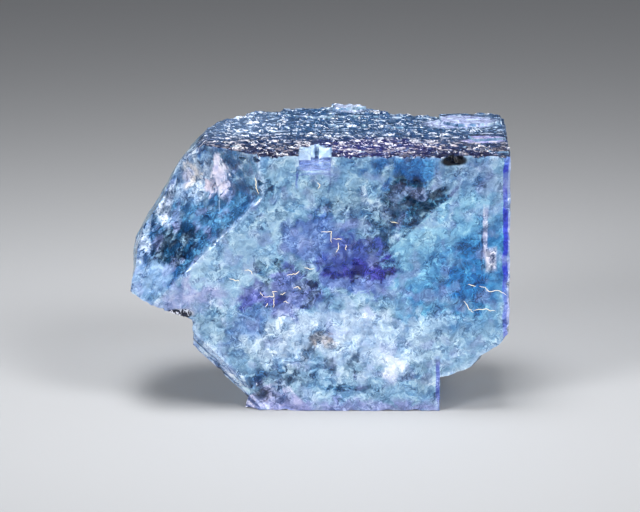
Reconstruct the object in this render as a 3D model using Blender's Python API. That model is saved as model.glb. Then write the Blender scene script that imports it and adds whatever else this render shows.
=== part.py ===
"""A cubic fluorite crystal, one solid piece of mineral 48 mm wide, standing on its broken base.

The front, the right side and the etched top are faces of the cube. The left is split off along an
octahedral cleavage plane, which leans at 54.7 degrees to every cube face, and so are the lower left and
the lower back. The far left, the upper back and the underside of the right end are rough breaks.
"""

import math
import random

import bmesh
import bpy
from mathutils import Matrix, Vector

MM = 0.001

# Driving dimensions in mm. x runs right along the front cube face, y back from it and z up.
CUBE_RIGHT = 23.7
CUBE_TOP = 32.9
DEEPEST = 26.5
BASE = -0.15
MIDDLE_X = -0.31
MIDDLE_Y = 13.78
BASE_RIGHT = 15.1

# A plane is an outward normal and an offset: the crystal keeps the points whose dot product with the
# normal is under the offset. The octahedral planes have a normal of ones.
MAIN_CLEAVAGE = ((-1, -1, 1), 34.9)
LOWER_CLEAVAGE = ((-1, -1, -1), 5.9)
STEP_RISER = ((-1, -1, -0.13), 3.72)
WING_UNDERSIDE = ((-0.36, -0.06, -1), -5.8)
LOWER_LEFT_BREAK = ((-1, 0.25, -1), 9.0)

# The wing is what reaches out to the left, and the waist is what carries it.
WAIST_LEFT = -16.2
WAIST_TOP = 16.0
STEP_FOOT = 24.0

# The far left break, as x at heights down from the top edge to below the wing.
LEFT_HEIGHTS = (-2.0, 12.0, 17.0, 20.4, 24.7, 27.9, 30.2, 33.0, 36.0)
LEFT_REACH = (-24.2, -24.1, -24.0, -23.0, -20.7, -18.7, -17.3, -14.4, -11.2)

# The broken back, as how far it reaches behind the front face at points along the top.
BACK_EDGE_X = (-28.0, -13.0, -10.3, -6.5, -1.0, 4.5, 9.5, 15.0, 22.6, 26.0)
BACK_EDGE_Y = (21.5, 22.8, 24.2, 25.4, 26.4, 26.5, 23.6, 22.8, 23.5, 19.0)
BACK_LEAN = 0.13

# The breaks are worked out on a grid of square cells, with one facet corner in each square of cells.
CELL = 1.8
SQUARE = 3

# The curved break under the right end: x and z of its lower outline, from the right face to the foot.
SHELL_BREAK = (
    (23.55, 9.7),
    (22.9, 8.6),
    (22.1, 7.9),
    (21.2, 7.3),
    (20.4, 6.8),
    (19.9, 6.1),
    (19.3, 5.4),
    (18.4, 5.0),
    (17.4, 4.65),
    (16.2, 4.25),
    (BASE_RIGHT, 4.2),
)
SHELL_LIP = 0.5
SHELL_LIP_DEPTH = 1.2

# The notch in the front top edge, in plan: two slabs of different depth on each side of a thin fin.
NOTCH_FLOOR = 30.95
NOTCH_PLAN = (
    (-2.6, -1.0),
    (-2.6, 5.0),
    (-1.2, 5.1),
    (-1.15, 6.4),
    (-0.75, 6.5),
    (-0.7, 7.0),
    (-0.4, 7.0),
    (-0.35, 6.0),
    (1.25, 6.3),
    (1.15, -1.0),
)

HILLOCK_ROWS = 17
HILLOCK_PITCH = 1.42
HILLOCK_LENGTH = (1.7, 3.4)
HILLOCK_WIDTH = (0.9, 1.6)
HILLOCK_HEIGHT = (0.16, 0.36)
HILLOCK_FRONT_SLOPE = math.radians(36)
SUNK = 0.25


def clear_scene():
    for obj in list(bpy.data.objects):
        bpy.data.objects.remove(obj, do_unlink=True)


def fluorite_material():
    """Clear pale blue fluorite, which bends light less than glass does."""
    material = bpy.data.materials.new("fluorite")
    material.use_nodes = True
    surface = material.node_tree.nodes["Principled BSDF"]
    surface.inputs["Base Color"].default_value = (0.50, 0.72, 0.90, 1)
    surface.inputs["Roughness"].default_value = 0.08
    surface.inputs["Metallic"].default_value = 0.0
    surface.inputs["IOR"].default_value = 1.434
    surface.inputs["Transmission Weight"].default_value = 0.85
    return material


def add_object(name, mesh):
    """The bmesh in mm as an object in metres, with the origin under the middle of the crystal."""
    mesh.transform(Matrix.Scale(MM, 4) @ Matrix.Translation((-MIDDLE_X, -MIDDLE_Y, -BASE)))
    bmesh.ops.recalc_face_normals(mesh, faces=mesh.faces[:])
    data = bpy.data.meshes.new(name)
    mesh.to_mesh(data)
    mesh.free()
    obj = bpy.data.objects.new(name, data)
    bpy.context.scene.collection.objects.link(obj)
    return obj


def combine(body, name, mesh, operation, crossing_itself=False):
    """Joins a helper solid to the crystal, or cuts it from the crystal."""
    helper = add_object(name, mesh)
    helper.hide_render = True
    helper.display_type = "WIRE"
    step = body.modifiers.new(name, "BOOLEAN")
    step.operation = operation
    step.solver = "EXACT"
    step.use_self = crossing_itself
    step.object = helper


def trim(mesh, planes):
    """Cuts a closed mesh by planes and closes it again at each cut."""
    for normal, offset in planes:
        normal = Vector(normal)
        cut = bmesh.ops.bisect_plane(
            mesh,
            geom=mesh.verts[:] + mesh.edges[:] + mesh.faces[:],
            dist=1e-6,
            plane_co=normal * (offset / normal.length_squared),
            plane_no=normal,
            clear_outer=True,
        )
        rim = [item for item in cut["geom_cut"] if isinstance(item, bmesh.types.BMEdge)]
        if rim:
            bmesh.ops.contextual_create(mesh, geom=rim)
    return mesh


def block(low, high, planes=()):
    """A box from low to high, cut by planes."""
    mesh = bmesh.new()
    bmesh.ops.create_cube(mesh, size=1)
    low, high = Vector(low), Vector(high)
    for vert in mesh.verts:
        share = vert.co + Vector((0.5, 0.5, 0.5))
        vert.co = low + share * (high - low)
    return trim(mesh, planes)


def beyond(plane):
    """The same plane facing the other way, for a cutter that takes off what lies outside it."""
    normal, offset = plane
    return tuple(-part for part in normal), -offset


def loft(rings):
    """A closed solid through rings with the same number of points, with flat ends."""
    mesh = bmesh.new()
    loops = [[mesh.verts.new(point) for point in ring] for ring in rings]
    count = len(loops[0])
    mesh.faces.new(loops[0][::-1])
    mesh.faces.new(loops[-1])
    for near, far in zip(loops, loops[1:]):
        for i in range(count):
            j = (i + 1) % count
            mesh.faces.new((near[i], near[j], far[j], far[i]))
    return mesh


def prism(outline, bottom, top, shrink=0.0):
    """An upright block on a plan outline, its upper end drawn in by a share of its size."""
    middle_x = sum(x for x, _ in outline) / len(outline)
    middle_y = sum(y for _, y in outline) / len(outline)
    rings = []
    for z, scale in ((bottom, 1.0), (top, 1.0 - shrink)):
        ring = [
            (middle_x + scale * (x - middle_x), middle_y + scale * (y - middle_y), z)
            for x, y in outline
        ]
        rings.append(ring)
    return loft(rings)


def wedge(points):
    """A four-cornered chip."""
    mesh = bmesh.new()
    v = [mesh.verts.new(point) for point in points]
    for face in ((0, 1, 2), (0, 2, 3), (0, 3, 1), (1, 3, 2)):
        mesh.faces.new([v[i] for i in face])
    return mesh


def sheet_cutter(first_u, last_u, first_v, last_v, surface, outward):
    """A closed cutter between the sheet surface(u, v) and the same sheet moved along outward. The
    sheet runs over whole cells, from the first to the last of each direction."""
    mesh = bmesh.new()
    sheets = []
    for shift in (Vector((0, 0, 0)), Vector(outward)):
        sheet = []
        for u in range(first_u, last_u + 1):
            row = [
                mesh.verts.new(Vector(surface(u * CELL, v * CELL)) + shift)
                for v in range(first_v, last_v + 1)
            ]
            sheet.append(row)
        sheets.append(sheet)
    inner, outer = sheets
    end_u, end_v = last_u - first_u, last_v - first_v
    for sheet in sheets:
        for i in range(end_u):
            for j in range(end_v):
                mesh.faces.new((sheet[i][j], sheet[i + 1][j], sheet[i + 1][j + 1], sheet[i][j + 1]))
    for i in range(end_u):
        for j in (0, end_v):
            mesh.faces.new((inner[i][j], inner[i + 1][j], outer[i + 1][j], outer[i][j]))
    for j in range(end_v):
        for i in (0, end_u):
            mesh.faces.new((inner[i][j], inner[i][j + 1], outer[i][j + 1], outer[i][j]))
    return mesh


def broken(u, v, seed, relief):
    """The height of a break at (u, v) that follows the cleavage in small flat facets: the highest of
    many low four-sided pyramids, one in each square of a lattice. Their edges keep to the cells."""
    column = math.floor(u / (SQUARE * CELL))
    row = math.floor(v / (SQUARE * CELL))
    highest = -math.inf
    for i in range(column - 1, column + 2):
        for j in range(row - 1, row + 2):
            dice = random.Random(seed + 101 * i + 7919 * j)
            top_u = CELL * (SQUARE * i + dice.randrange(SQUARE))
            top_v = CELL * (SQUARE * j + dice.randrange(SQUARE))
            fall = (abs(u - top_u) + abs(v - top_v)) / (SQUARE * CELL)
            highest = max(highest, dice.uniform(0, 1.1) - fall)
    return relief * highest


def interpolate(x, xs, ys):
    for left, right, near, far in zip(xs, xs[1:], ys, ys[1:]):
        if x <= right:
            return near + (far - near) * (x - left) / (right - left)
    return ys[-1]


def add_body(material):
    """The main mass: what the main cleavage plane bounds, out to the tip of the wing."""
    mesh = block((-27, 0, 9), (CUBE_RIGHT, DEEPEST + 2, CUBE_TOP), [MAIN_CLEAVAGE, WING_UNDERSIDE])
    body = add_object("fluorite_crystal", mesh)
    body.data.materials.append(material)
    return body


def join_masses(body):
    """The rest of the crystal's mass: the step on the main cleavage plane that carries the left end
    of the top face, the waist down to the base, and the toe at its lower left."""
    step = block((-20, 0, STEP_FOOT), (CUBE_RIGHT, DEEPEST + 2, CUBE_TOP), [STEP_RISER])
    combine(body, "step", step, "UNION")
    waist = block(
        (WAIST_LEFT, 0, BASE),
        (CUBE_RIGHT, DEEPEST + 2, WAIST_TOP),
        [LOWER_CLEAVAGE, LOWER_LEFT_BREAK],
    )
    combine(body, "waist", waist, "UNION")
    toe_front = ((-0.75, -1, 0.1), 5.6)
    toe = block((-9.6, 0.3, BASE), (-3, 6, 2.4), [toe_front, ((-1, 0.1, 0.4), 9.9)])
    combine(body, "toe", toe, "UNION")


def join_crust(body):
    """A thin jagged band of the split-off sheet that clings to the main cleavage plane up the far
    left edge, and a flake on the riser of the step."""
    band = (
        (-27.0, 9.0),
        (-24.4, 7.9),
        (-23.3, 7.2),
        (-22.6, 8.3),
        (-21.5, 7.9),
        (-21.2, 9.0),
        (-20.0, 8.6),
        (-19.4, 9.7),
        (-18.6, 9.2),
        (-18.1, 10.2),
        (-17.0, 9.4),
        (-16.2, 10.6),
        (-16.0, 16.0),
        (-27.0, 16.0),
    )
    normal, offset = MAIN_CLEAVAGE
    sheet = trim(prism(band, 12, 40), [(normal, offset + 1.0), beyond((normal, offset - 1.0))])
    combine(body, "crust", sheet, "UNION")
    flakes = (
        ("flake_1", ((-13.7, 6.2, 26.8), (-12.7, 4.3, 31.8), (-11.0, 3.2, 29.4), (-11.8, 5.6, 29.0))),
        ("flake_2", ((-13.8, 6.1, 26.8), (-15.5, 7.5, 28.7), (-13.3, 5.0, 28.3), (-13.6, 8.0, 27.8))),
    )
    for name, points in flakes:
        combine(body, name, wedge(points), "UNION")


def join_terraces(body):
    """The low growth terraces on the top: they rise to the back edge, and lie as plates at the right."""
    terraces = (
        ("terrace_1", 0.24, ((-8, 28), (-9.5, 19), (-4, 16.4), (4, 17.4), (11, 16), (13, 19), (11, 28))),
        ("terrace_2", 0.50, ((-5.5, 28), (-5, 22.4), (-1, 20.6), (5, 21.4), (8.5, 21), (8.5, 28))),
        ("terrace_3", 0.95, ((1.2, 28), (1.4, 24.6), (3.4, 24.2), (6.0, 25.2), (6.2, 28))),
        ("plate_1", 0.40, ((14.6, 28), (15.2, 18.6), (17.5, 16.6), (21.5, 17.4), (23.4, 18.6), (23.3, 28))),
        ("plate_2", 0.34, ((18.4, 10.6), (19.4, 8.0), (22.0, 8.8), (23.5, 9.6), (23.4, 12.6), (20.4, 12.8))),
        ("plate_3", 0.24, ((20.4, 3.4), (21.4, 1.4), (23.5, 1.7), (23.45, 4.6))),
    )
    for name, rise, outline in terraces:
        combine(body, name, prism(outline, CUBE_TOP - 2 * SUNK, CUBE_TOP + rise, 0.04), "UNION")


def hillock(mesh, x, y, length, width, height, turn):
    """One etch hillock: a roof with a short steep front, a long back and drawn-in ends."""
    run = (height + SUNK) / math.tan(HILLOCK_FRONT_SLOPE)
    wide = length / 2
    points = (
        (-wide, -run, -SUNK),
        (wide, -run, -SUNK),
        (1.1 * wide, width, -SUNK),
        (-1.1 * wide, width, -SUNK),
        (-0.62 * wide, 0, height),
        (0.55 * wide, 0.1 * width, height),
    )
    turned = Matrix.Translation((x, y, CUBE_TOP)) @ Matrix.Rotation(turn, 4, "Z")
    v = [mesh.verts.new(turned @ Vector(point)) for point in points]
    for face in ((0, 3, 2, 1), (0, 1, 5, 4), (1, 2, 5), (2, 3, 4, 5), (3, 0, 4)):
        mesh.faces.new([v[i] for i in face])


def terrace_rise(x, y):
    """How high the terraces lift the hillocks that stand on them."""
    if y > 16.5 and -9 < x < 12:
        return 0.24 if y < 21.5 or not -5 < x < 8 else 0.50
    return 0.0


def join_hillocks(body):
    """The scaly etch relief of the top face, in rows that run along the front edge."""
    dice = random.Random(11)
    mesh = bmesh.new()
    for row in range(HILLOCK_ROWS):
        y = 1.5 + row * HILLOCK_PITCH
        x = max(-8 - y, -14.2) + 0.9 + dice.uniform(0.7, 2.0)
        while x < CUBE_RIGHT - 1.9:
            length = dice.uniform(*HILLOCK_LENGTH)
            width = dice.uniform(*HILLOCK_WIDTH)
            height = dice.uniform(*HILLOCK_HEIGHT)
            shift = dice.uniform(-0.4, 0.4)
            turn = dice.uniform(-0.16, 0.16)
            on_plate = (x > 17.5 and 7 < y < 14) or (x > 13.5 and y > 16)
            if not on_plate:
                height += terrace_rise(x, y)
                hillock(mesh, x, y + shift, length, width, height, turn)
            x += length * dice.uniform(0.8, 1.2)
    combine(body, "hillocks", mesh, "UNION", crossing_itself=True)


def back_surface(x, z):
    """The broken upper back: it leans in under the top's back edge, with lumps and ledges."""
    y = interpolate(x, BACK_EDGE_X, BACK_EDGE_Y) - BACK_LEAN * (CUBE_TOP - z)
    calm = min(max((CUBE_TOP - z) / 6, 0.12), 1)
    return (x, y + calm * broken(x, z, 3, 2.2), z)


def left_surface(y, z):
    """The far left break: it slopes out and down from the top, then drops to the tip of the wing."""
    x = interpolate(z, LEFT_HEIGHTS, LEFT_REACH) + 0.2 * max(y - 13, 0)
    return (x - 0.8 * broken(y, z, 5, 1.0), y, z)


def cut_breaks(body):
    """The rough breaks at the back and the far left."""
    back = sheet_cutter(-16, 15, -1, 20, back_surface, (0, 24, 0))
    combine(body, "back_break", back, "DIFFERENCE")
    left = sheet_cutter(-1, 17, 4, 20, left_surface, (-14, 0, 0))
    combine(body, "left_break", left, "DIFFERENCE")


def cut_cleavages(body):
    """The octahedral planes of the back, each with lower steps beside it where a sheet came off."""
    low, high = (-40, -2, -20), (40, 60, 60)
    cleavages = (
        ("back_upper_left", (((-1, 1, 1), 66.6),)),
        ("back_upper_left_step", (((-1, 1, 1), 64.4), ((-1, 0.2, -1), -8.5))),
        ("back_lower_right", (((1, 1, -1), 28.6),)),
        ("back_lower_right_step", (((1, 1, -1), 26.4), ((-1, 0.3, 0.5), -7.0))),
        ("back_lower_right_sheet", (((1, 1, -1), 27.6), ((-0.2, -1, -1), -26.0))),
        ("back_lower_left", (((-1, 1, -1), 21.6),)),
        ("back_lower_left_step", (((-1, 1, -1), 19.6), ((1, 0.4, 0.6), 0.5))),
        ("back_lower_left_sheet", (((-1, 1, -1), 20.8), ((0.4, -1, -1), -27.0))),
    )
    for name, planes in cleavages:
        combine(body, name, block(low, high, [beyond(plane) for plane in planes]), "DIFFERENCE")


def cut_shell_break(body):
    """The shell-like break under the right end. Behind a narrow lip it hollows inwards."""
    rings = []
    for y, lip, rise in (
        (-1, SHELL_LIP, 0.35 * SHELL_LIP),
        (0, SHELL_LIP, 0.35 * SHELL_LIP),
        (SHELL_LIP_DEPTH, 0.0, 0.0),
        (8, 0.7, 0.5),
        (17, 1.9, 1.8),
        (DEEPEST + 3, 3.4, 3.6),
    ):
        curve = []
        for step, (x, z) in enumerate(SHELL_BREAK):
            share = math.sin(math.pi * (step + 1) / (len(SHELL_BREAK) + 1))
            curve.append((x - lip * share, y, z + rise * share))
        far = CUBE_RIGHT + 3
        rings.append([(far, y, 10.4 + rise), *curve, (curve[-1][0], y, -2), (far, y, -2)])
    combine(body, "shell_break", loft(rings), "DIFFERENCE")


def cut_chips(body):
    """The notch in the front top edge, and the chips along the edges and the wing's lower rim."""
    combine(body, "notch", prism(NOTCH_PLAN, NOTCH_FLOOR, CUBE_TOP + 3, -0.04), "DIFFERENCE")
    chips = (
        ("chip_front_top", ((15.2, -0.6, 33.6), (18.2, -0.6, 33.6), (16.9, -0.6, 31.4), (16.6, 2.4, 33.8))),
        ("chip_right_edge", ((24.4, -0.7, 17.4), (24.4, -0.7, 15.2), (22.7, -0.7, 16.3), (24.6, 3.0, 16.4))),
        ("chip_right_low", ((24.4, -0.7, 12.6), (24.4, -0.7, 9.0), (23.0, -0.7, 10.4), (24.8, 4.0, 10.6))),
        ("chip_back", ((24.8, 19.4, 36.0), (24.8, 24.0, 29.0), (21.6, 26.0, 34.6), (26.0, 27.0, 36.0))),
        ("chip_step_1", ((-9.6, -0.6, 33.0), (-7.3, -0.6, 32.2), (-8.9, -0.6, 31.4), (-8.0, 1.2, 32.2))),
        ("chip_step_2", ((-8.6, -0.6, 30.2), (-6.9, -0.6, 29.3), (-8.4, -0.6, 28.3), (-7.4, 1.4, 29.2))),
        ("chip_riser_1", ((-11.6, 1.6, 32.3), (-9.2, 0.2, 32.5), (-10.2, 0.6, 31.3), (-9.6, 3.0, 31.9))),
        ("chip_riser_2", ((-12.2, 2.6, 31.0), (-10.6, 1.4, 31.4), (-11.6, 2.2, 30.3), (-10.8, 3.8, 30.8))),
        ("chip_wing_1", ((-21.8, -0.8, 13.6), (-19.4, -0.8, 13.6), (-20.2, -0.8, 12.2), (-20.6, 3.2, 11.6))),
        ("chip_wing_2", ((-19.0, -0.8, 12.5), (-17.6, -0.8, 12.9), (-18.2, -0.8, 11.2), (-18.4, 2.6, 10.9))),
        ("chip_waist", ((-17.0, -0.8, 12.6), (-16.4, -0.8, 9.8), (-15.2, -0.8, 11.6), (-17.4, 2.2, 11.0))),
        ("chip_corner", ((-6.4, -0.25, 5.5), (-0.8, -0.25, -0.6), (-10.8, 2.3, 1.9), (-9.0, -3.0, -3.0))),
    )
    for name, points in chips:
        combine(body, name, wedge(points), "DIFFERENCE")


clear_scene()
crystal = add_body(fluorite_material())
join_masses(crystal)
join_crust(crystal)
join_terraces(crystal)
join_hillocks(crystal)
cut_breaks(crystal)
cut_cleavages(crystal)
cut_shell_break(crystal)
cut_chips(crystal)
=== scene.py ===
"""A cleaved and etched fluorite crystal on a pale studio floor: blue, violet at heart, milky at the foot."""
import math

import bmesh
import bpy
import numpy as np
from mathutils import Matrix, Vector
from mathutils.geometry import delaunay_2d_cdt


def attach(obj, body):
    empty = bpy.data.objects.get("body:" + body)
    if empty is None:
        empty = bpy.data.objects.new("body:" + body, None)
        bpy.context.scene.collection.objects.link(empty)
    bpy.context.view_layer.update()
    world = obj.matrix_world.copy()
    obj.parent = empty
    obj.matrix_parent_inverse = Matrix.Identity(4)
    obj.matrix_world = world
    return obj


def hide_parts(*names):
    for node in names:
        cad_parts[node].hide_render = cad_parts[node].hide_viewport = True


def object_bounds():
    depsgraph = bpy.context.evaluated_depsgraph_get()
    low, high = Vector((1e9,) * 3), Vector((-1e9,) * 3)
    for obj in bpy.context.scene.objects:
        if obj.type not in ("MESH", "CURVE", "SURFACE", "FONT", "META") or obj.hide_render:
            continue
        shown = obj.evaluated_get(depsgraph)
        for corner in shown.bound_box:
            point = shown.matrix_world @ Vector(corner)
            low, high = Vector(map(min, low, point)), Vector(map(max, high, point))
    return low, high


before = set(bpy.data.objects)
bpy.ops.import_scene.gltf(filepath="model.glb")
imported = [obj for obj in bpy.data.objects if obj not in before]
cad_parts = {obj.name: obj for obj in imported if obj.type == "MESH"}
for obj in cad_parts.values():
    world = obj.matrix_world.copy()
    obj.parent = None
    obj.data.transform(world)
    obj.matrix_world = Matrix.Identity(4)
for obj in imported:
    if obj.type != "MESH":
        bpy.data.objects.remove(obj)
cad_low, cad_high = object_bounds()


# ---- Camera ----
# A long lens looks slightly down on the cube's front face. It aims at a point on that face, a little over
# half way up the crystal.
MM = 0.001
CAMERA_ELEVATION = math.radians(14)
CAMERA_DISTANCE = 0.6
SENSOR_WIDTH = 36
LENS_LENGTH = 270
NEAREST_SEEN = 0.05
FARTHEST_SEEN = 20
AIM_X = 0.19 * MM
AIM_HEIGHT = 20.15 * MM
front_y = cad_low.y
aim = Vector((AIM_X, front_y, AIM_HEIGHT))

camera_data = bpy.data.cameras.new("camera")
camera_data.sensor_width = SENSOR_WIDTH
camera_data.lens = LENS_LENGTH
camera_data.clip_start = NEAREST_SEEN
camera_data.clip_end = FARTHEST_SEEN
camera = bpy.data.objects.new("camera", camera_data)
sight = Vector((0, math.cos(CAMERA_ELEVATION), -math.sin(CAMERA_ELEVATION)))
camera.location = aim - CAMERA_DISTANCE * sight
camera.rotation_mode = "QUATERNION"
camera.rotation_quaternion = sight.to_track_quat("-Z", "Y")
bpy.context.scene.collection.objects.link(camera)
bpy.context.scene.camera = camera


# ---- Floor and light ----
# A pale matt floor under soft boxes: one overhead, a little in front, and one to each side of the front face.
# The room round them is a dim grey, which is what the flat terraces of the top face mirror.
FLOOR_REACH = 2.0
FLOOR_COLOR = (0.28, 0.285, 0.295, 1)
FLOOR_ROUGHNESS = 0.8
ROOM_LOW = (0.035, 0.037, 0.042, 1)
ROOM_HIGH = (0.22, 0.23, 0.25, 1)
SOFT_BOXES = (
    # name; place; size; power; spread in degrees
    ("light_above", (-0.02, -0.03, 0.36), (0.2, 0.16), 0.17, 44),
    ("light_left", (-0.45, -0.5, 0.3), (0.3, 0.3), 0.5, 40),
    ("light_right", (0.4, -0.36, 0.45), (0.3, 0.3), 0.36, 40),
)


def node_of(tree, kind, inputs=(), **settings):
    """A shader node with its settings, and its inputs given by name or number as values or as sockets."""
    made = tree.nodes.new(kind)
    for name, value in settings.items():
        setattr(made, name, value)
    for name, value in dict(inputs).items():
        if isinstance(value, bpy.types.NodeSocket):
            tree.links.new(value, made.inputs[name])
        else:
            made.inputs[name].default_value = value
    return made


def floor():
    """A square of floor, centred under the crystal."""
    r = FLOOR_REACH
    mesh = bpy.data.meshes.new("floor")
    mesh.from_pydata([(-r, -r, 0), (r, -r, 0), (r, r, 0), (-r, r, 0)], [], [(0, 1, 2, 3)])
    material = bpy.data.materials.new("floor")
    material.use_nodes = True
    shader = material.node_tree.nodes["Principled BSDF"]
    shader.inputs["Base Color"].default_value = FLOOR_COLOR
    shader.inputs["Roughness"].default_value = FLOOR_ROUGHNESS
    mesh.materials.append(material)
    made = bpy.data.objects.new("floor", mesh)
    bpy.context.scene.collection.objects.link(made)


def soft_box(name, place, size, power, spread):
    """A rectangular area light that faces the point the camera aims at."""
    data = bpy.data.lights.new(name, "AREA")
    data.spread = math.radians(spread)
    data.shape = "RECTANGLE"
    data.size, data.size_y = size
    data.energy = power
    made = bpy.data.objects.new(name, data)
    made.location = place
    made.rotation_mode = "QUATERNION"
    made.rotation_quaternion = (aim - Vector(place)).to_track_quat("-Z", "Y")
    bpy.context.scene.collection.objects.link(made)


def room():
    """The world is a grey that brightens evenly from the horizon to straight up."""
    world = bpy.data.worlds.new("room")
    world.use_nodes = True
    tree = world.node_tree
    direction = node_of(tree, "ShaderNodeTexCoord").outputs["Generated"]
    height = node_of(tree, "ShaderNodeSeparateXYZ", {0: direction}).outputs["Z"]
    rise = node_of(tree, "ShaderNodeMapRange", {"Value": height, "From Min": 0.0, "From Max": 1.0}).outputs[0]
    mixed = node_of(tree, "ShaderNodeMix", {0: rise, 6: ROOM_LOW, 7: ROOM_HIGH}, data_type="RGBA")
    tree.links.new(mixed.outputs[2], tree.nodes["Background"].inputs["Color"])
    bpy.context.scene.world = world


floor()
room()
bpy.context.scene.view_settings.view_transform = "Standard"
for box in SOFT_BOXES:
    soft_box(*box)


# ---- The crystal's skin ----
# The crystal is one piece of fluorite. Its skin is the etched cube faces, the octahedral cleavages and the
# broken edges, as one closed mesh of fine cells that numpy then works: scales on top, low steps and worn
# edges elsewhere. Lengths are in millimetres, and most pairs say where a ramp starts and ends.
CELL = 0.34
TOP_CELL = 0.18
GRID_ROW = 0.87  # of a cell, as the next two are
GRID_JITTER = 0.12
GRID_CLEARANCE = 0.55
GRID_SEED = 5
MERGE_DISTANCE = 0.001 * MM
FLATNESS = math.radians(0.5)
DELAUNAY_INSIDE = 1
DELAUNAY_NEAR = 1e-7
TINY = 1e-12
LATTICE = 64
WEAR_ROUNDS = 7

TOP_LEVEL = 32.3
TOP_BLEND = 0.2
TOP_FACET = 0.3
TOP_LEAN = (0.2, 0.6)
FRONT_DEPTH = 0.5
FRONT_LEAN = (0.6, 0.9)
WORN_RIDGE = (0.02, 0.22)

SCALE_PITCH = 0.66
SCALE_LENGTH = 2.0
SCALE_HEIGHT = 0.2
SCALE_FRONT = 0.25
SCALE_LEAST = 0.15
SCALE_GLEAM = (0.05, 0.8)
ROW_BENDS = ((0.55, 3.1), (0.25, 1.3))  # reach in rows; size
ROW_SHIFT = 5
COLUMN_BEND = (0.4, 2.3)
LIP_HIGHLIGHT_HEIGHT = (0.4, 0.6)
LIP_HIGHLIGHT_ACROSS = (1.5 * SCALE_FRONT, 0.8 * SCALE_FRONT)
LARGE_SCALES_AT = 40
SMALL_PITCH = 0.8
SMALL_LENGTH = 0.75
NEAR_HALF = (6, -12)
SMALL_AT_BACK = 0.9
SMALL_LOSS = 0.3
SMALL_SEED = 9
LARGE_AT_BACK = 0.4
LARGE_GAIN = 0.6
LARGE_SEED = 3

TERRACE_SIZE = 3.4
TERRACE_STEPS = 3
TERRACE_SEED = 21
FRONT_RELIEF = 0.045
FRONT_SINK = 1.2
FRONT_WAVES = ((0.6, 0.9, 22),)  # share; size; seed
SIDE_RELIEF = 0.06
SIDE_SINK = 1.6
SIDE_WAVES = ((1.0, 0.9, 31), (1.4, 2.2, 32))
CHIP_DEPTH = 0.22
CHIP_FLOOR = -0.3
CHIP_WAVES = ((1.0, 1.1, 41), (0.6, 0.5, 42))
SHARP_ANGLE = math.radians(34)


def cell_size(facet):
    high = facet.calc_center_median().z > TOP_LEVEL and facet.normal.z > TOP_FACET
    return TOP_CELL if high else CELL


def grid_inside(outline, cell, random):
    """Points of a jittered triangular grid that lie in a closed outline, by how often a ray from each crosses
    it, and over half a cell from every side of it."""
    low = outline.min(0)
    high = outline.max(0)
    columns = np.arange(low[0], high[0] + cell, cell)
    rows = np.arange(low[1], high[1], cell * GRID_ROW)
    x, y = np.meshgrid(columns, rows)
    x[1::2] += cell / 2
    points = np.stack([x.ravel(), y.ravel()], 1)
    points += random.uniform(-GRID_JITTER, GRID_JITTER, points.shape) * cell
    crossed = np.zeros(len(points), bool)
    nearest = np.full(len(points), np.inf)
    for start, end in zip(outline, np.roll(outline, -1, axis=0)):
        run = end - start
        spans = (start[1] > points[:, 1]) != (end[1] > points[:, 1])
        reach = start[0] + (points[:, 1] - start[1]) * run[0] / (run[1] or TINY)
        crossed ^= spans & (points[:, 0] < reach)
        t = np.clip((points - start) @ run / max(run @ run, TINY), 0, 1)
        away = points - start - t[:, None] * run
        nearest = np.minimum(nearest, np.sum(away**2, axis=1))
    return points[crossed & (nearest > (GRID_CLEARANCE * cell) ** 2)]


def fine_mesh(source):
    """The node's closed mesh, in millimetres, with each flat facet filled anew by even triangles: its sides
    are cut into equal parts, which both facets at a side share, and points are spread over it and joined by
    Delaunay triangles."""
    bm = bmesh.new()
    bm.from_mesh(source.data)
    bmesh.ops.remove_doubles(bm, verts=bm.verts, dist=MERGE_DISTANCE)
    bmesh.ops.scale(bm, vec=(1 / MM,) * 3, verts=bm.verts)
    bmesh.ops.dissolve_limit(bm, angle_limit=FLATNESS, verts=bm.verts, edges=bm.edges)
    bm.verts.index_update()
    points = [v.co.copy() for v in bm.verts]
    along = {}
    for edge in bm.edges:
        parts = max(1, round(edge.calc_length() / min(cell_size(facet) for facet in edge.link_faces)))
        along[edge] = list(range(len(points), len(points) + parts - 1))
        start, end = edge.verts
        points += [start.co.lerp(end.co, k / parts) for k in range(1, parts)]
    random = np.random.default_rng(GRID_SEED)
    triangles = []
    for facet in bm.faces:
        names = []
        for loop in facet.loops:
            forward = loop.edge.verts[0] == loop.vert
            names += [loop.vert.index, *(along[loop.edge] if forward else reversed(along[loop.edge]))]
        right = facet.normal.orthogonal().normalized()
        up = facet.normal.cross(right)
        rim = np.array([(points[i].dot(right), points[i].dot(up)) for i in names])
        inside = grid_inside(rim, cell_size(facet), random)
        flat = [Vector(p) for p in np.concatenate([rim, inside])]
        found = delaunay_2d_cdt(flat, [], [list(range(len(rim)))], DELAUNAY_INSIDE, DELAUNAY_NEAR)
        names += range(len(points), len(points) + len(inside))
        level = facet.normal * facet.normal.dot(facet.calc_center_median())
        points += [right * p[0] + up * p[1] + level for p in inside]
        triangles += [[names[found[3][corner][0]] for corner in corners] for corners in found[2]]
    bm.free()
    mesh = bpy.data.meshes.new("crystal_skin")
    mesh.from_pydata(points, [], triangles)
    return mesh


def read(mesh, what, name, width, kind=np.float32):
    """A property of all of a mesh's points or edges as rows of an array."""
    values = np.empty(len(getattr(mesh, what)) * width, kind)
    getattr(mesh, what).foreach_get(name, values)
    return values.reshape(-1, width)


def ramp(value, start, end):
    """0 before start and 1 after end, with a smooth rise between: 3t^2 - 2t^3."""
    t = np.clip((value - start) / (end - start), 0, 1)
    return t * t * (3 - 2 * t)


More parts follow.
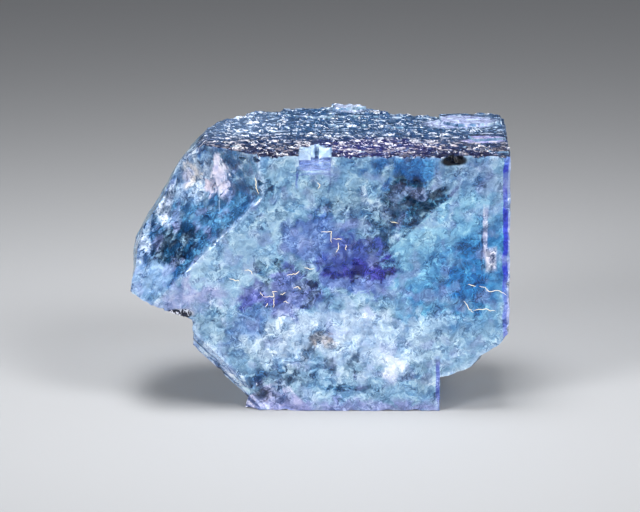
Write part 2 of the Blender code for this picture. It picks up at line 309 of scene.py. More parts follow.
def waves(points, size, seed):
    """Smooth noise from -1 to 1: random values on a lattice of that size, blended by smooth steps along each
    axis."""
    table = np.random.default_rng(seed).uniform(-1, 1, (LATTICE, LATTICE, LATTICE))
    scaled = points / size
    cell = np.floor(scaled).astype(int)
    t = scaled - cell
    t = t * t * (3 - 2 * t)
    total = np.zeros(len(points))
    for corner in np.ndindex(2, 2, 2):
        share = np.prod(np.where(np.array(corner) == 1, t, 1 - t), axis=1)
        i, j, k = ((cell + corner) % LATTICE).T
        total += share * table[i, j, k]
    return total


def layered(points, layers):
    """The sum of waves, each given as its share, its size and its seed."""
    return sum(share * waves(points, size, seed) for share, size, seed in layers)


def proudness(points, normals, edges):
    """How far each point stands out of the mean of its neighbours, after a few rounds of such means: above 0
    on a ridge and below 0 in a groove."""
    ends = np.concatenate([edges, edges[:, ::-1]])
    here = ends[:, 0]
    there = ends[:, 1]
    count = np.bincount(here, minlength=len(points))[:, None]
    mean = points
    for _ in range(WEAR_ROUNDS):
        mean = np.stack([np.bincount(here, mean[there, k], len(points)) for k in range(3)], 1) / count
    return np.sum((points - mean) * normals, axis=1)


def scale_rows(x, y, pitch, length, seed):
    """Rows of scales that climb steeply at their front edge and sink slowly to the back. A scale's height is
    a random size, times an arch across its length, times min(t / front, (1 - t) / (1 - front)) across its
    row. The second result is a painted highlight: the gleam of the front slopes of the taller scales, which
    is random too."""
    random = np.random.default_rng(seed)
    shift = random.uniform(0, 1, LATTICE)
    size = random.uniform(SCALE_LEAST, 1, (LATTICE, LATTICE))
    gleam = ramp(random.uniform(0, 1, (LATTICE, LATTICE)), *SCALE_GLEAM)
    points = np.stack([x, y, np.zeros(len(x))], 1)
    rows = y / pitch
    for bend, (reach, width) in enumerate(ROW_BENDS, 1):
        rows = rows + reach * waves(points, width, seed + bend)
    row = np.floor(rows).astype(int)
    across = rows - row
    reach, width = COLUMN_BEND
    bent = reach * waves(points, width, seed + len(ROW_BENDS) + 1)
    columns = x / length + ROW_SHIFT * shift[row % LATTICE] + bent
    column = np.floor(columns).astype(int)
    along = columns - column
    arch = 1 - (2 * along - 1) ** 2
    profile = np.minimum(across / SCALE_FRONT, (1 - across) / (1 - SCALE_FRONT))
    height = size[row % LATTICE, column % LATTICE] * arch
    lip_highlight = ramp(height, *LIP_HIGHLIGHT_HEIGHT) * ramp(across, *LIP_HIGHLIGHT_ACROSS)
    return height * profile, lip_highlight * gleam[row % LATTICE, column % LATTICE]


skin_mesh = fine_mesh(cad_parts["fluorite_crystal"])
points = read(skin_mesh, "vertices", "co", 3).astype(float)
normals = read(skin_mesh, "vertex_normals", "vector", 3).astype(float)
edges = read(skin_mesh, "edges", "vertices", 2, np.int32)
front_plane = front_y / MM

# Where the top, the front, the other faces and the ridges are.
x, y, z = points.T
is_top = ramp(z, TOP_LEVEL - TOP_BLEND, TOP_LEVEL + TOP_BLEND) * ramp(normals[:, 2], *TOP_LEAN)
is_front = ramp(-y, -front_plane - FRONT_DEPTH, -front_plane - FRONT_DEPTH / 2)
is_front = is_front * ramp(-normals[:, 1], *FRONT_LEAN)
is_side = 1 - np.maximum(is_top, is_front)
worn = ramp(proudness(points, normals, edges), *WORN_RIDGE)

# Small scales cover the top, and large ones grow through them towards the front.
near = ramp(y, *NEAR_HALF)
small_scale = (SCALE_PITCH * SMALL_PITCH, SCALE_LENGTH * SMALL_LENGTH)
large_at = (x + LARGE_SCALES_AT, y + LARGE_SCALES_AT)
small, small_lip_highlights = scale_rows(x, y, *small_scale, SMALL_SEED)
large, large_lip_highlights = scale_rows(*large_at, SCALE_PITCH, SCALE_LENGTH, LARGE_SEED)
small *= SMALL_AT_BACK - SMALL_LOSS * near
large *= LARGE_AT_BACK + LARGE_GAIN * near
scales = np.maximum(small, large)
# Painted highlights on the crests of whichever scale is taller.
lip_highlights = np.where(small > large, small_lip_highlights, large_lip_highlights)
lift = is_top * SCALE_HEIGHT * (scales - 1)

# Low terraces lie on the front, soft waves on the other faces, and the ridges are chipped.
terraces = np.round(TERRACE_STEPS * waves(points, TERRACE_SIZE, TERRACE_SEED)) / TERRACE_STEPS
lift += is_front * FRONT_RELIEF * (terraces + layered(points, FRONT_WAVES) - FRONT_SINK)
lift += is_side * SIDE_RELIEF * (layered(points, SIDE_WAVES) - SIDE_SINK)
chips = np.maximum(layered(points, CHIP_WAVES), CHIP_FLOOR)
lift -= worn * CHIP_DEPTH * (chips - CHIP_FLOOR)
points += normals * lift[:, None]

skin_mesh.vertices.foreach_set("co", (points * MM).astype(np.float32).ravel())
skin_mesh.shade_smooth()
skin_mesh.set_sharp_from_angle(angle=SHARP_ANGLE)
skin_mesh.update()
# The ridges, and the painted highlights on the crests of the scales, go to the shader as point attributes.
for name, values in {"worn": worn, "lip_highlights": lip_highlights}.items():
    skin_mesh.attributes.new(name, "FLOAT", "POINT").data.foreach_set("value", values.astype(np.float32))
skin = bpy.data.objects.new("crystal_skin", skin_mesh)
bpy.context.scene.collection.objects.link(skin)
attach(skin, "root")
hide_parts("fluorite_crystal")


# ---- The fluorite ----
# Clear blue fluorite, coloured in clouds that grew with it, and crumpled by etching, whose creases and folds
# are painted lit on one side and shaded on the other: violet in the middle, milky at the foot and teal where
# it is crackled inside. Each zone has its own colour, clarity and crackle.
# Lengths are in millimetres and colours go from 0 to 255. A pair says where a soft step starts and ends.
# Painted light: the step from each place to the one it is compared with in the painted crease and fold
# shading, which sets their lit side.
LIGHT_LEAN = (0.13, 0.0, -0.13)
SHIFT = (37.0, 11.0, 23.0)
HALF = (0.5, 0.5, 0.5)
CREASE = (1.9, 1.6, 0.6)  # a noise: its size, detail and roughness
CREASE_HEIGHT = -2.2
SOFT_WAVE = (0.9, 0.5)
SMALL_PLATES = (0.9, 0.35)  # size; height
LARGE_PLATES = (2.4, 0.8)
VEIN_DETAIL = (1.5, 0.6)
TEAR_DETAIL = (2, 0.6)
SHARD_SCATTER = 0.9
SCRATCH_CORE = 0.4
SCRATCH_FADE = 0.8

material = bpy.data.materials.new("fluorite")
material.use_nodes = True
tree = material.node_tree


def tint(red, green, blue):
    """A display colour as the linear one that the shader takes, by the upper part of the sRGB curve."""
    return (*(((c / 255 + 0.055) / 1.055) ** 2.4 for c in (red, green, blue)), 1)


def reckon(operation, *values):
    return node_of(tree, "ShaderNodeMath", dict(enumerate(values)), operation=operation).outputs[0]


def vector(operation, *values):
    made = node_of(tree, "ShaderNodeVectorMath", dict(enumerate(values)), operation=operation)
    return made.outputs[1 if operation in ("LENGTH", "DOT_PRODUCT") else 0]


def scaled(value, factor):
    return node_of(tree, "ShaderNodeVectorMath", {0: value, "Scale": factor}, operation="SCALE").outputs[0]


def soft_step(value, start, end):
    inputs = {0: value, 1: start, 2: end, 3: 0.0, 4: 1.0}
    return node_of(tree, "ShaderNodeMapRange", inputs, interpolation_type="SMOOTHSTEP").outputs[0]


def paint(share, below, above, how="MIX"):
    inputs = {0: share, 6: below, 7: above}
    return node_of(tree, "ShaderNodeMix", inputs, data_type="RGBA", blend_type=how).outputs[2]


def darken(share, color, shade):
    return paint(share, color, tint(*shade), "MULTIPLY")


def lighten(share, color):
    """A colour screened with itself, so that dark places stay dark."""
    return paint(share, color, color, "SCREEN")


def between(share, below, above):
    return node_of(tree, "ShaderNodeMix", {0: share, 2: below, 3: above}).outputs[0]


def both(*masks):
    """The product of masks: 1 only where all of them are."""
    total = masks[0]
    for mask in masks[1:]:
        total = reckon("MULTIPLY", total, mask)
    return total


def channels(color):
    return node_of(tree, "ShaderNodeSeparateColor", {0: color}).outputs


def noise(at, size, detail=2.0, roughness=0.5, color=False):
    inputs = {"Vector": at, "Scale": 1 / size, "Detail": detail, "Roughness": roughness}
    return node_of(tree, "ShaderNodeTexNoise", inputs).outputs["Color" if color else "Fac"]


def veins(at, size, width):
    """1 on thin crooked lines, where a noise crosses its middle value, and 0 off them."""
    level = noise(at, size, *VEIN_DETAIL)
    return soft_step(reckon("ABSOLUTE", reckon("SUBTRACT", level, 0.5)), width, 0.0)


def shards(at, size):
    """A random vector from 0 to 1 for each shard of a broken pattern: the cell of the nearest scattered
    point, where near is the greatest of the distances along the three axes."""
    inputs = {"Vector": at, "Scale": 1 / size, "Randomness": SHARD_SCATTER}
    return node_of(tree, "ShaderNodeTexVoronoi", inputs, distance="CHEBYCHEV").outputs["Color"]


def plates(at, size):
    """A random level from 0 to 1 for each shard."""
    return channels(shards(at, size))[0]


def tear(at, size, reach):
    """A place pushed about by a soft noise, which bends what is drawn there."""
    push = vector("SUBTRACT", noise(at, size, *TEAR_DETAIL, color=True), HALF)
    return vector("ADD", at, scaled(push, reach))


def crumple(at):
    """The etched relief: sharp creases, which are a noise folded at its middle, on softer waves and torn
    plates."""
    crease = reckon("ABSOLUTE", reckon("SUBTRACT", noise(at, *CREASE), 0.5))
    relief = reckon("MULTIPLY_ADD", crease, CREASE_HEIGHT, noise(at, *SOFT_WAVE))
    for size, height in (SMALL_PLATES, LARGE_PLATES):
        relief = reckon("MULTIPLY_ADD", plates(at, size), height, relief)
    return relief


def blob(at, centre, size, edge):
    """1 inside an ellipsoid and 0 outside it, with a soft edge of that share of its size."""
    away = vector("LENGTH", vector("DIVIDE", vector("SUBTRACT", at, centre), size))
    return soft_step(away, 1 + edge, 1 - edge)


def bar(at, centre, half, edge):
    """1 inside an upright box and 0 outside it, by the greatest of the distances along the three axes."""
    away = vector("ABSOLUTE", vector("DIVIDE", vector("SUBTRACT", at, centre), half))
    sides = node_of(tree, "ShaderNodeSeparateXYZ", {0: away}).outputs
    most = reckon("MAXIMUM", reckon("MAXIMUM", sides[0], sides[1]), sides[2])
    return soft_step(most, 1 + edge, 1 - edge)


def scratch(at, start, end, width):
    """1 on a thin straight line between two points, by the distance from it, and 0 off it."""
    start = Vector(start)
    end = Vector(end)
    middle = (start + end) / 2
    reach = (end - start).length / 2
    off = vector("LENGTH", vector("CROSS_PRODUCT", vector("SUBTRACT", at, start), (end - start).normalized()))
    near = vector("LENGTH", vector("SUBTRACT", at, middle))
    return both(soft_step(off, width, SCRATCH_CORE * width), soft_step(near, reach, SCRATCH_FADE * reach))


def past(at, direction, start, end):
    """1 past a flat plane and 0 before it, by the distance along a direction."""
    return soft_step(vector("DOT_PRODUCT", at, direction), start, end)


def lay(finish, mask, clear, crackled, shade):
    """A zone over what is there: its clarity, crackle and colour, where its mask is 1."""
    below_clear, below_crackled, below_color = finish
    over = between(mask, below_clear, clear), between(mask, below_crackled, crackled)
    return *over, paint(mask, below_color, tint(*shade))


def lay_zones(finish, at, zones, form=blob):
    """Zones of a table, each with a form, its place, half sizes and soft edge, and its share, over what is
    there."""
    for name, centre, size, edge, share, *look in zones:
        finish = lay(finish, both(form(at, centre, size, edge), share), *look)
    return finish


def dapple(color, level, dapples, dark_share, light_share):
    """A colour darkened where a level is on one side, and lightened where it is on the other."""
    dark, shade, light = dapples
    color = darken(both(soft_step(level, *dark), dark_share), color, shade)
    return lighten(both(soft_step(level, *light), light_share), color)


# The places that the zones are drawn on are swirled by a soft noise and jump from shard to shard, so that the
# zones end as clouds do. A warp or a rag gives how far the swirl and the jumps reach.
TEAR = (1.3, 2.4)
SWIRL_NOISE = (3.4, 2, 0.6)
SHARD_SIZE = 1.3
WARP_SWIRL = 7.5
WARP_JUMP = 1.0
RAG_SWIRL = 3.0
RAG_JUMP = 0.8
STIR = 1.0
coordinates = node_of(tree, "ShaderNodeTexCoord")
normal = coordinates.outputs["Normal"]
place = scaled(coordinates.outputs["Object"], 1 / MM)
facing = node_of(tree, "ShaderNodeSeparateXYZ", {0: normal}).outputs
here = node_of(tree, "ShaderNodeSeparateXYZ", {0: place}).outputs
torn = tear(place, *TEAR)
swirl = vector("SUBTRACT", noise(place, *SWIRL_NOISE, color=True), HALF)
jumps = vector("SUBTRACT", shards(torn, SHARD_SIZE), HALF)
stirred = vector("ADD", place, scaled(swirl, STIR))
warped = vector("ADD", vector("ADD", place, scaled(swirl, WARP_SWIRL)), scaled(jumps, WARP_JUMP))
ragged = vector("ADD", vector("ADD", place, scaled(swirl, RAG_SWIRL)), scaled(jumps, RAG_JUMP))
# The worn ridges, milkier and with a painted highlight along them.
edge_wear_and_highlight = node_of(tree, "ShaderNodeAttribute", attribute_name="worn").outputs["Fac"]
# The painted highlights on the crests of the scales.
lip_gleam = node_of(tree, "ShaderNodeAttribute", attribute_name="lip_highlights").outputs["Fac"]

# Each zone is an ellipsoid, and each bar an upright box, in which the fluorite has a look of its own.
# A place is given by its centre, its half sizes and its soft edge, as a share of them.
FACES = (
    # name; direction; cosines from and to; clarity; crackle; colour
    ("main cleavage", (-1, -1, 1), 0.85, 0.95, 0.5, 0.45, (58, 103, 142)),
    ("step riser", (-1, -1, -0.13), 0.88, 0.97, 0.7, 0.5, (70, 120, 170)),
    ("lower cleavage", (-1, -1, -1), 0.85, 0.95, 0.3, 0.4, (170, 192, 224)),
    ("right face", (1, 0, 0), 0.8, 0.95, 0.6, 0.3, (108, 160, 214)),
    ("back face", (0, 1, 0), 0.8, 0.95, 0.6, 0.3, (128, 168, 212)),
)
FRONT = (0.5, 0.35, (143, 181, 209))  # clarity; crackle; colour
PALE_ZONES = (
    # name; centre; size; edge; share; clarity; crackle; colour
    ("pale diagonal", (-12.0, -13.8, 18.6), (5.6, 3, 4.6), 0.3, 0.7, 0.4, 0.0, (146, 180, 208)),
    ("pale peak", (-7.4, -13.8, 23.6), (3.0, 3, 2.6), 0.3, 0.7, 0.4, 0.0, (156, 192, 220)),
    ("lilac corner at the step", (-16.5, -13.8, 14.4), (4.2, 2, 2.4), 0.4, 0.75, 0.4, 0.1, (172, 170, 212)),
)
DEEP_ZONES = (
    # name; centre; size; edge; share; clarity; crackle; colour
    ("upper band", (0.0, -13.8, 31.0), (9.0, 4, 2.4), 0.4, 0.5, 0.6, 0.2, (122, 170, 212)),
    ("step shade", (-7.2, -13.8, 27.4), (1.9, 4, 3.6), 0.4, 0.7, 0.5, 0.6, (94, 140, 178)),
    ("slate wisps", (2.6, -13.8, 25.2), (4.4, 4, 1.5), 0.5, 0.6, 0.5, 0.8, (88, 120, 160)),
    ("blue corner", (11.5, -13.8, 31.7), (5.0, 4, 1.8), 0.2, 0.95, 0.6, 0.2, (50, 112, 180)),
    ("lilac corner", (19.5, -13.8, 29.5), (3.5, 4, 3.2), 0.3, 0.8, 0.5, 0.3, (116, 146, 188)),
    ("teal patch", (11.7, -13.8, 27.6), (4.2, 4, 2.7), 0.2, 0.95, 0.5, 0.9, (22, 64, 88)),
    ("teal tail", (9.4, -13.8, 24.4), (2.8, 4, 2.2), 0.25, 0.85, 0.6, 0.9, (64, 106, 142)),
    ("teal foot", (7.6, -13.8, 21.9), (2.2, 4, 1.8), 0.25, 0.9, 0.6, 1.0, (44, 80, 116)),
)
GROWTH_FACE = (0.67, 0.0, -0.74)
GROWTH_LEVEL = -9.7
GROWTH_EDGE = 0.4
AZURE_PLACE = ((16.5, -13.8, 19.5), (8.0, 5, 9.5), 0.25)
AZURE_DEEPENS = (0.5, 8)
AZURE = (0.45, 0.15, (140, 194, 224))
AZURE_DEEPER = (0.5, 0.3, (66, 136, 192))
ZONES = (
    # name; centre; size; edge; share; clarity; crackle; colour
    ("deep azure", (18.6, -13.8, 17.4), (3.4, 4, 3.8), 0.4, 0.9, 0.55, 0.4, (44, 116, 184)),
    ("violet top", (0.0, -13.8, 22.4), (4.8, 4, 3.2), 0.2, 0.95, 0.45, 0.25, (94, 120, 184)),
    ("violet middle", (4.4, -13.8, 20.2), (4.2, 4, 2.7), 0.2, 0.97, 0.45, 0.3, (62, 76, 152)),
    ("violet low", (5.0, -13.8, 16.9), (5.0, 4, 2.4), 0.2, 0.95, 0.45, 0.25, (98, 118, 184)),
    ("violet heart", (5.6, -13.8, 18.7), (4.2, 4, 1.3), 0.25, 0.97, 0.45, 0.6, (50, 48, 134)),
    ("violet left", (-4.8, -13.8, 14.8), (4.8, 4, 3.2), 0.15, 0.95, 0.45, 0.4, (98, 108, 172)),
    ("violet left dark", (-1.8, -13.8, 15.0), (1.8, 4, 1.6), 0.4, 0.9, 0.45, 0.9, (78, 90, 148)),
    ("green eye", (-6.5, -13.8, 18.0), (1.5, 4, 1.5), 0.3, 0.8, 0.5, 0.9, (98, 130, 150)),
    ("violet low left", (-9.5, -13.8, 10.6), (3.2, 4, 2.4), 0.4, 0.7, 0.5, 0.4, (98, 130, 196)),
    ("violet left foot", (-7.0, -13.8, 13.9), (2.0, 4, 1.6), 0.25, 0.9, 0.5, 0.4, (84, 88, 174)),
    ("cloud", (3.5, -13.8, 9.6), (10.0, 4, 3.8), 0.15, 0.95, 0.2, 0.15, (158, 177, 200)),
    ("cloud right", (13.5, -13.8, 9.2), (6.0, 4, 3.2), 0.25, 0.8, 0.25, 0.25, (144, 171, 197)),
    ("low right", (19.5, -13.8, 8.6), (5.0, 4, 4.0), 0.4, 0.7, 0.45, 0.2, (128, 168, 200)),
    ("cloud left", (-4.0, -13.8, 8.4), (5.0, 4, 2.6), 0.3, 0.8, 0.3, 0.4, (160, 180, 202)),
)
SPOTS = (
    # name; centre; size; edge; share; clarity; crackle; colour
    ("cloud core", (9.2, -13.8, 6.0), (1.5, 3, 1.4), 0.5, 1.0, 0.15, 0.1, (206, 214, 226)),
    ("brown arc", (0.2, -13.8, 9.0), (1.6, 3, 0.9), 0.4, 0.8, 0.3, 0.4, (152, 138, 132)),
    ("dark eye", (1.3, -13.8, 5.9), (1.1, 3, 0.9), 0.4, 0.9, 0.4, 0.6, (52, 70, 98)),
    ("eye rim", (-1.1, -13.8, 7.4), (0.6, 3, 1.4), 0.4, 0.7, 0.4, 0.8, (100, 118, 142)),
    ("dark arc", (4.5, -13.8, 6.2), (0.6, 3, 1.8), 0.4, 0.95, 0.4, 0.6, (64, 90, 122)),
    ("dark band", (4.0, -13.8, 2.95), (4.0, 3, 0.45), 0.4, 0.95, 0.4, 0.6, (44, 80, 112)),
    ("teal low left", (-5.0, -13.8, 4.5), (4.4, 3, 1.3), 0.4, 0.75, 0.5, 1.0, (104, 132, 158)),
    ("lilac strip", (4.0, -13.8, 0.2), (12.5, 3, 1.3), 0.3, 0.9, 0.3, 0.15, (112, 118, 166)),
    # Painted shade: the crackle spot on the main cleavage is near black for the dark that face mirrors and
    # sees through.
    ("crackle", (-17.9, -10.0, 20.9), (3.6, 4, 3.2), 0.3, 0.95, 0.35, 0.9, (14, 48, 74)),
    ("low left", (-21.2, -11.0, 16.3), (3.8, 4, 2.4), 0.3, 0.9, 0.5, 0.3, (140, 172, 210)),
    ("left crust", (-15.6, -5.3, 29.2), (3.2, 4, 4.2), 0.3, 0.8, 0.3, 0.6, (160, 178, 204)),
    ("cream crust", (-16.4, -5.4, 28.7), (1.5, 2.4, 1.5), 0.3, 0.9, 0.2, 0.3, (188, 182, 180)),
    ("left rim", (-19.4, -4.6, 25.2), (1.4, 3.5, 4.0), 0.3, 0.8, 0.25, 0.8, (150, 158, 178)),
    ("left rim low", (-22.0, -6.6, 20.2), (1.1, 3.5, 3.6), 0.3, 0.8, 0.25, 0.8, (150, 162, 186)),
    ("lilac chip", (-12.4, -9.0, 29.6), (1.1, 2, 2.4), 0.2, 0.95, 0.15, 0.1, (220, 212, 232)),
    ("pink chip", (-14.0, -7.4, 27.6), (0.9, 2, 1.0), 0.2, 0.8, 0.2, 0.2, (206, 188, 204)),
)
BARS = (
    # name; centre; half; edge; share; clarity; crackle; colour
    ("right edge violet", (23.35, -13.8, 24.0), (0.32, 1.5, 9.0), 0.2, 0.95, 0.3, 0.2, (44, 48, 176)),
    ("right edge violet low", (23.45, -13.8, 11.5), (0.28, 1.5, 3.4), 0.4, 0.8, 0.3, 0.2, (70, 78, 180)),
    ("right edge lilac", (23.9, -13.8, 20.5), (0.24, 1.5, 12.6), 0.3, 0.8, 0.3, 0.2, (158, 160, 206)),
    ("foot edge violet", (15.1, -13.8, 3.4), (0.28, 1.5, 3.2), 0.3, 0.85, 0.4, 0.2, (58, 66, 160)),
    ("pale streak", (20.85, -13.8, 23.2), (0.28, 1.5, 2.8), 0.4, 0.9, 0.2, 0.4, (222, 208, 222)),
    ("pale streak low", (21.6, -13.8, 19.6), (0.62, 1.5, 1.3), 0.4, 0.85, 0.2, 0.9, (222, 210, 224)),
    ("streak shadow", (20.45, -13.8, 20.4), (0.14, 1.5, 2.8), 0.5, 0.8, 0.5, 0.3, (44, 76, 120)),
    ("left step line", (-2.7, -13.8, 30.0), (0.14, 1.5, 1.3), 0.5, 0.8, 0.5, 0.2, (58, 78, 160)),
    ("right step line", (1.3, -13.8, 29.7), (0.12, 1.5, 1.6), 0.5, 0.7, 0.5, 0.2, (70, 104, 150)),
    ("notch slabs", (-0.5, -7.8, 32.6), (2.1, 1.8, 1.5), 0.1, 1.0, 0.1, 0.0, (206, 228, 244)),
    ("notch fin", (-0.35, -7.6, 32.6), (0.1, 1.6, 1.6), 0.3, 0.6, 0.3, 0.0, (96, 112, 180)),
    ("notch floor", (-0.5, -9.9, 31.0), (2.3, 3.4, 0.35), 0.1, 0.8, 0.4, 0.3, (100, 114, 190)),
    ("notch foot", (-0.7, -13.8, 30.6), (2.4, 1.5, 0.15), 0.6, 0.5, 0.4, 0.1, (72, 78, 170)),
)

finish = (FRONT[0], FRONT[1], tint(*FRONT[2]))
finish = lay_zones(finish, warped, PALE_ZONES)
for name, direction, start, end, *look in FACES:
    finish = lay(finish, past(normal, Vector(direction).normalized(), start, end), *look)
finish = lay_zones(finish, warped, DEEP_ZONES)

# The azure part ends at a flat growth face, which runs up to the right, and deepens away from it.
growth = vector("DOT_PRODUCT", stirred, GROWTH_FACE)
inside = soft_step(growth, GROWTH_LEVEL - GROWTH_EDGE, GROWTH_LEVEL + GROWTH_EDGE)
azure = both(blob(warped, *AZURE_PLACE), inside)
deeper = soft_step(growth, *(GROWTH_LEVEL + depth for depth in AZURE_DEEPENS))
finish = lay(finish, azure, *AZURE)
finish = lay(finish, both(azure, deeper), *AZURE_DEEPER)
finish = lay_zones(finish, warped, ZONES)

# Worn edges are paler and milkier, and this paler colour also paints a highlight along the edges.
WORN_AND_HIGHLIGHT_SHARE = 0.6
WORN_AND_HIGHLIGHT_LOOK = (0.3, 0.2, (188, 206, 234))
finish = lay(finish, both(edge_wear_and_highlight, WORN_AND_HIGHLIGHT_SHARE), *WORN_AND_HIGHLIGHT_LOOK)

# A pale plate lies over the lower left corner of the front, with a dark chip at its foot.
PLATE_DEPTH = (-9, -11)
PLATE_SIDES = (
    # direction; where its side starts and ends along it
    ((-0.6, 0, 0.8), 6.6, 6.3),
    ((0.745, 0, 0.667), -0.35, -0.65),
)
PLATE_LOOK = (0.15, 0.3, (166, 164, 196))
PLATE_CHIP = ((-7.2, -13.8, 2.0), (1.3, 3, 0.8), 0.4)
PLATE_CHIP_LOOK = (0.4, 0.6, (78, 82, 104))
plate = soft_step(here["Y"], *PLATE_DEPTH)
for direction, start, end in PLATE_SIDES:
    plate = both(plate, past(stirred, direction, start, end))
finish = lay(finish, plate, *PLATE_LOOK)
finish = lay(finish, both(plate, blob(ragged, *PLATE_CHIP)), *PLATE_CHIP_LOOK)
finish = lay_zones(finish, ragged, SPOTS)
finish = lay_zones(finish, stirred, BARS, bar)
clarity, crackle, color = finish

# Thin scratches cross the main cleavage.
SCRATCH_WIDTH = 0.12
SCRATCH_SHARE = 0.6
SCRATCH_COLOR = (190, 206, 226)
SCRATCHES = (
    # the ends of each
    ((-17.6, -6.9, 24.0), (-10.5, -8.3, 29.7)),
    ((-12.6, -6.3, 29.7), (-12.4, -10.9, 25.0)),
)
for start, end in SCRATCHES:
    mask = both(scratch(place, start, end, SCRATCH_WIDTH), SCRATCH_SHARE)
    color = paint(mask, color, tint(*SCRATCH_COLOR))

# Along the growth face runs a beaded dark seam.
SEAM_PLACE = ((13.0, -13.8, 24.4), (7.5, 2, 6), 0.2)
SEAM_EDGE = (0.28, 0.1)
SEAM_SHARE = 0.8
SEAM_SHADE = (70, 104, 140)
BEAD_NOISE = (0.6, 1)
BEAD_EDGE = (0.38, 0.5)
seam = soft_step(reckon("ABSOLUTE", reckon("SUBTRACT", growth, GROWTH_LEVEL)), *SEAM_EDGE)
seam = both(seam, blob(stirred, *SEAM_PLACE), soft_step(noise(place, *BEAD_NOISE), *BEAD_EDGE))
color = darken(both(seam, SEAM_SHARE), color, SEAM_SHADE)

# Clouds and torn plates of lighter and darker blue, and broad folds painted lit on one side and shaded on the
# other, are strongest where it is crackled or patchy.
# A noise is given as its size, detail and roughness, and a dapple as where its dark starts and is full, the
# dark's colour, and where its light starts and is full.
HUE_NOISE = (2.2, 1.5, 0.62)
HUE_EDGE = (0.52, 0.66)
HUES = (
    # share; colour
    (0.35, (150, 156, 204)),
    (0.25, (148, 176, 190)),
)
PATCH_EDGE = (0.42, 0.6)
RUFFLE_CRACKLE = 1.4
RUFFLE_PATCHES = 0.35
RUFFLE_LEAST = 0.05
RUFFLE_MOST = 1.3
MOTTLE_NOISE = (3.4, 2, 0.55)
MOTTLE = ((0.5, 0.36), (142, 182, 212), (0.52, 0.64))
MOTTLE_DARK = (0.25, 0.7)
MOTTLE_LIGHT = 0.5
TORN_PLATE = 1.7
TORN = ((0.3, 0.15), (140, 180, 214), (0.7, 0.85))
TORN_DARK = (0.2, 0.6)
TORN_LIGHT = (0.2, 0.5)
FOLD_NOISE = (2.8, 1)
FOLD_LEAN = 4
FOLD_LIGHT_AND_SHADE = ((0.0, -0.14), (130, 172, 206), (0.0, 0.14))
FOLD_SHADE = 0.7
FOLD_LIGHT = 0.4
hue_noise = noise(vector("ADD", place, SHIFT), *HUE_NOISE, color=True)
hues = channels(hue_noise)
patchy = soft_step(hues[2], *PATCH_EDGE)
ruffled = reckon("MULTIPLY_ADD", patchy, RUFFLE_PATCHES, RUFFLE_LEAST)
ruffled = reckon("MINIMUM", reckon("MULTIPLY_ADD", crackle, RUFFLE_CRACKLE, ruffled), RUFFLE_MOST)
mottle = noise(warped, *MOTTLE_NOISE)
color = dapple(color, mottle, MOTTLE, between(ruffled, *MOTTLE_DARK), MOTTLE_LIGHT)
broken = plates(torn, TORN_PLATE)
color = dapple(color, broken, TORN, between(ruffled, *TORN_DARK), between(ruffled, *TORN_LIGHT))
# Painted light and shade: broad folds, lit on one side and shaded on the other.
leaned = vector("ADD", torn, scaled(LIGHT_LEAN, FOLD_LEAN))
fold_shading = reckon("SUBTRACT", noise(torn, *FOLD_NOISE), noise(leaned, *FOLD_NOISE))
color = dapple(color, fold_shading, FOLD_LIGHT_AND_SHADE, both(ruffled, FOLD_SHADE), both(ruffled, FOLD_LIGHT))
for cloud, (share, shade) in zip(hues, HUES):
    color = paint(both(soft_step(cloud, *HUE_EDGE), share), color, tint(*shade))

# Etching: each crease is painted lit on one side and shaded on the other, thin wrinkles run through it in
# patches, and crackled parts are coarser.
CREASE_LIGHT_AND_SHADE = ((0.0, -0.25), (84, 118, 150), (0.0, 0.25))
CREASE_SHADE_SHARE = 0.8
WRINKLES = (1.6, 0.04)
WRINKLE_SHARE = (0.1, 0.55)
WRINKLE_SHADE = (84, 120, 156)
PALE_WRINKLES = (1.3, 0.035)
PALE_WRINKLE_SHARE = (0.3, 1.0)
COARSE_NOISE = (1.4, 2, 0.62)
COARSE = ((0.54, 0.38), (70, 104, 130), (0.54, 0.7))
COARSE_DARK = 0.85
crease_shading = reckon("SUBTRACT", crumple(torn), crumple(vector("ADD", torn, LIGHT_LEAN)))
color = dapple(color, crease_shading, CREASE_LIGHT_AND_SHADE, both(ruffled, CREASE_SHADE_SHARE), ruffled)
wrinkles = veins(torn, *WRINKLES)
color = darken(both(wrinkles, between(patchy, *WRINKLE_SHARE)), color, WRINKLE_SHADE)
pale_wrinkles = veins(vector("SUBTRACT", torn, SHIFT), *PALE_WRINKLES)
color = lighten(both(pale_wrinkles, between(patchy, *PALE_WRINKLE_SHARE)), color)
coarse = noise(torn, *COARSE_NOISE)
color = dapple(color, coarse, COARSE, both(crackle, COARSE_DARK), crackle)

# Steps of the broken lower cleavage run down to the right.
DIAGONAL = 0.71
BAND_SQUASH = 1.6
BAND_STRETCH = 0.22
BAND_NOISE = (0.8, 2, 0.6)
BAND = ((0.5, 0.36), (70, 104, 146), (0.5, 0.64))
BAND_DARK = 0.9
FOOT_ACROSS = (-3.2, -5.0)
FOOT_HEIGHT = (12.5, 11.5)
across = vector("DOT_PRODUCT", stirred, (DIAGONAL, 0.0, DIAGONAL))
along = vector("DOT_PRODUCT", stirred, (DIAGONAL, 0.0, -DIAGONAL))
banded = {0: reckon("MULTIPLY", across, BAND_SQUASH), 1: reckon("MULTIPLY", along, BAND_STRETCH)}
bands = noise(node_of(tree, "ShaderNodeCombineXYZ", banded).outputs[0], *BAND_NOISE)
broken_foot = both(soft_step(across, *FOOT_ACROSS), soft_step(here["Z"], *FOOT_HEIGHT))
color = dapple(color, bands, BAND, both(broken_foot, BAND_DARK), broken_foot)

# A crust of dark and white beads hangs at the wing.
CRUST_PLACE = ((-17.5, -13.6, 12.7), (1.9, 1.5, 0.7), 0.2)
CRUST_DARK = (20, 24, 42)
CRUST_PALE = (214, 218, 232)
CRUST_NOISE = (0.5, 1)
CRUST_EDGE = (0.48, 0.56)
crust = blob(stirred, *CRUST_PLACE)
color = paint(crust, color, tint(*CRUST_DARK))
color = paint(both(soft_step(noise(torn, *CRUST_NOISE), *CRUST_EDGE), crust), color, tint(*CRUST_PALE))
